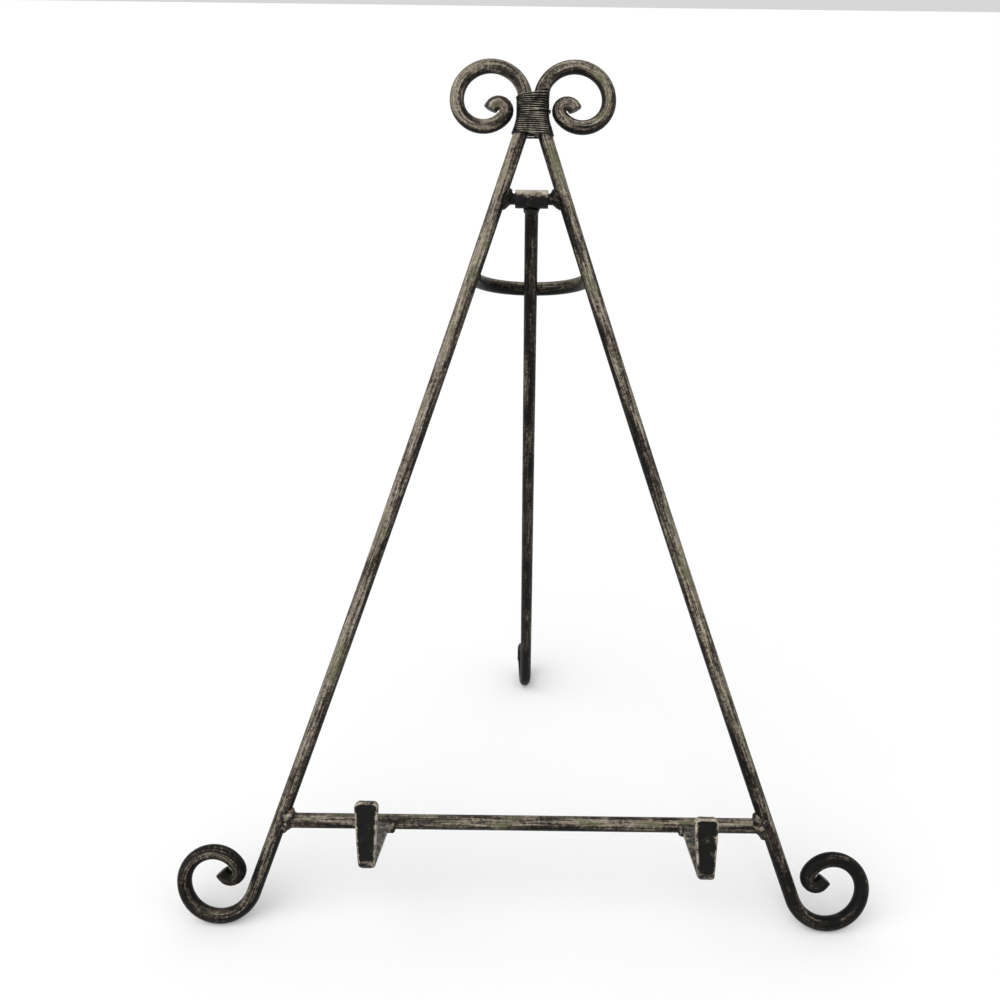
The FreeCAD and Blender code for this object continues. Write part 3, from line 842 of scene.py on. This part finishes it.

# %% [markdown]
# ## Black iron, welds and wire
#
# The lips are left nearly black and glossy, and handling has worn their edges bright. The welds
# are lumpy and black with a few bright spatters. On the sleeve, pin, welds and wire the sides
# facing the lamp are painted lighter, with painted highlights on the sleeve's top and the wire's
# thin crests, and their undersides are painted in shade.

# %% Finish: black iron
def black_iron(name, wear_and_light_layer, gloss=0.3, wear=0.0, scuff=0.0, crest=0.8):
    """Wear and scuff move how much shows, in either direction; crest sharpens the edge's pull."""
    board = Board(name)
    solid = board.node("ShaderNodeTexCoord", None, None, "Object")
    edge = board.node("ShaderNodeAttribute", {"attribute_name": wear_and_light_layer}, None, "Fac")
    cloud = board.noise(solid, 330, detail=4.0) - 0.5
    grain = board.noise(solid, 2300, detail=2.0, rough=0.65) - 0.5
    scratch = board.noise(solid, 1.0, (500, 500, 3600), detail=1.0) - 0.5
    scuffed = (cloud * 2.2 + grain * 1.6 + scratch * 1.4 + scuff).fade(0.25, 0.85)
    colour = board.mix(scuffed, BLACK, BROWN)
    line = (scratch + cloud * 0.5).fade(0.27, 0.36)
    colour = board.mix(line * 0.35, colour, TAUPE)
    # on the lips the layer is edge wear; on the sleeve, pin, welds and wire it is the lit-side
    # mask, so this taupe is painted light
    worn = (edge * crest + cloud * 2.4 + grain * 1.6 + wear).fade(0.35, 0.95)
    colour = board.mix(worn, colour, TAUPE)
    # cream on top: bright worn edges on the lips, painted highlights on the other pieces' lit
    # sides and the wire's crests
    colour = board.mix((edge * crest + grain * 2.2 + cloud * 2.0 + wear).fade(0.8, 1.4), colour,
                       CREAM_WEAR_AND_HIGHLIGHT)
    board.set("Base Color", colour)
    board.set("Metallic", 0.0)
    board.set("Specular IOR Level", 0.12)
    board.set("Roughness", gloss + scuffed * 0.2 + worn * 0.15)
    board.set("Normal", board.bump(cloud * 0.8 + grain * 0.5 + scratch * 0.25, 0.25 * MM, 0.8))
    return board.material


for piece in lips:
    piece.data.materials.append(black_iron("black_lip", "worn", wear=-0.05))
# the sleeve's top half is painted light and its underside painted shade
sleeve.data.materials.append(black_iron("sleeve_iron", "rubbed_and_lit", gloss=0.4, wear=-0.2, crest=1.5))
pin.data.materials.append(black_iron("pin_iron", "rubbed_and_lit", wear=-0.5))
dull_weld = black_iron("weld_iron", "rubbed_and_lit", gloss=0.34, wear=-0.5, scuff=0.1)
bright_weld = black_iron("scraped_weld_iron", "rubbed_and_lit", gloss=0.34, wear=-0.1, scuff=0.3)
for piece in welds + [leg_bead]:
    scraped = piece.name.startswith(("bar", "lip"))
    piece.data.materials.append(bright_weld if scraped else dull_weld)
# the wire's bright crests are painted highlights
binding.data.materials.append(black_iron("annealed_wire", "rubbed_and_lit", gloss=0.34, wear=-1.55,
                                          crest=2.7))
print(len(bpy.data.materials), "finishes made")

# %% [markdown]
# ## Stage
#
# A plain pale floor, an even room, and a soft light from the upper left with a weak one opposite.
# The floor is very large, so that its edge is far off.

# %% Floor and room
scene = bpy.context.scene
bm = bmesh.new()
bmesh.ops.create_grid(bm, x_segments=1, y_segments=1, size=80.0)
floor = finished("floor", bm)
paint = Board("floor_paint")
paint.set("Base Color", (0.94, 0.94, 0.94, 1))
paint.set("Roughness", 0.9)
floor.data.materials.append(paint.material)

world = bpy.data.worlds.new("room")
scene.world = world
world.use_nodes = True
backdrop = world.node_tree.nodes["Background"]
backdrop.inputs["Color"].default_value = (1, 1, 1, 1)
backdrop.inputs["Strength"].default_value = 0.68
print("room brightness", round(backdrop.inputs["Strength"].default_value, 2))


# %% Lights
def sky_light(name, toward, strength, spread):
    """A very soft sun: even over the whole floor, and strongest from one side."""
    light = bpy.data.lights.new(name, "SUN")
    light.energy, light.angle = strength, math.radians(spread)
    lamp = bpy.data.objects.new(name, light)
    scene.collection.objects.link(lamp)
    lamp.rotation_euler = Vector(toward).to_track_quat("-Z", "Y").to_euler()


sky_light("window", (0.55, 0.6, -0.66), 1.9, 80)
sky_light("fill", (-0.8, 0.4, -0.5), 0.25, 60)
print(len(bpy.data.lights), "lights")

# %% [markdown]
# ## Camera
#
# The camera looks square into the leaning frame from close by, so the frame keeps its true
# shape and only the lips and the leg show depth. It is held very slightly askew.

# %% Camera
REACH, LENS_WIDTHS, SENSOR = 460 * MM, 1.05, 36
EYE_DROP, EYE_ASIDE, ROLL = 138.9 * MM, -0.2 * MM, math.radians(0.72)
eye = on_frame(EYE_ASIDE, -REACH, EYE_DROP)
lean_back = tilt.to_3x3()
right = lean_back @ Vector((math.cos(ROLL), 0, math.sin(ROLL)))
above = lean_back @ Vector((-math.sin(ROLL), 0, math.cos(ROLL)))
toward = lean_back @ -BEHIND
camera = bpy.data.objects.new("camera", bpy.data.cameras.new("camera"))
scene.collection.objects.link(camera)
camera.matrix_world = Matrix.Translation(eye) @ Matrix(
    (right, above, toward)).transposed().to_4x4()
camera.data.sensor_width = SENSOR
camera.data.lens = SENSOR * LENS_WIDTHS
camera.data.shift_x, camera.data.shift_y = -0.0284, -0.075
camera.data.clip_start = 0.01
scene.camera = camera
scene.view_settings.view_transform = "Standard"
print("eye at", tuple(round(v, 3) for v in eye))
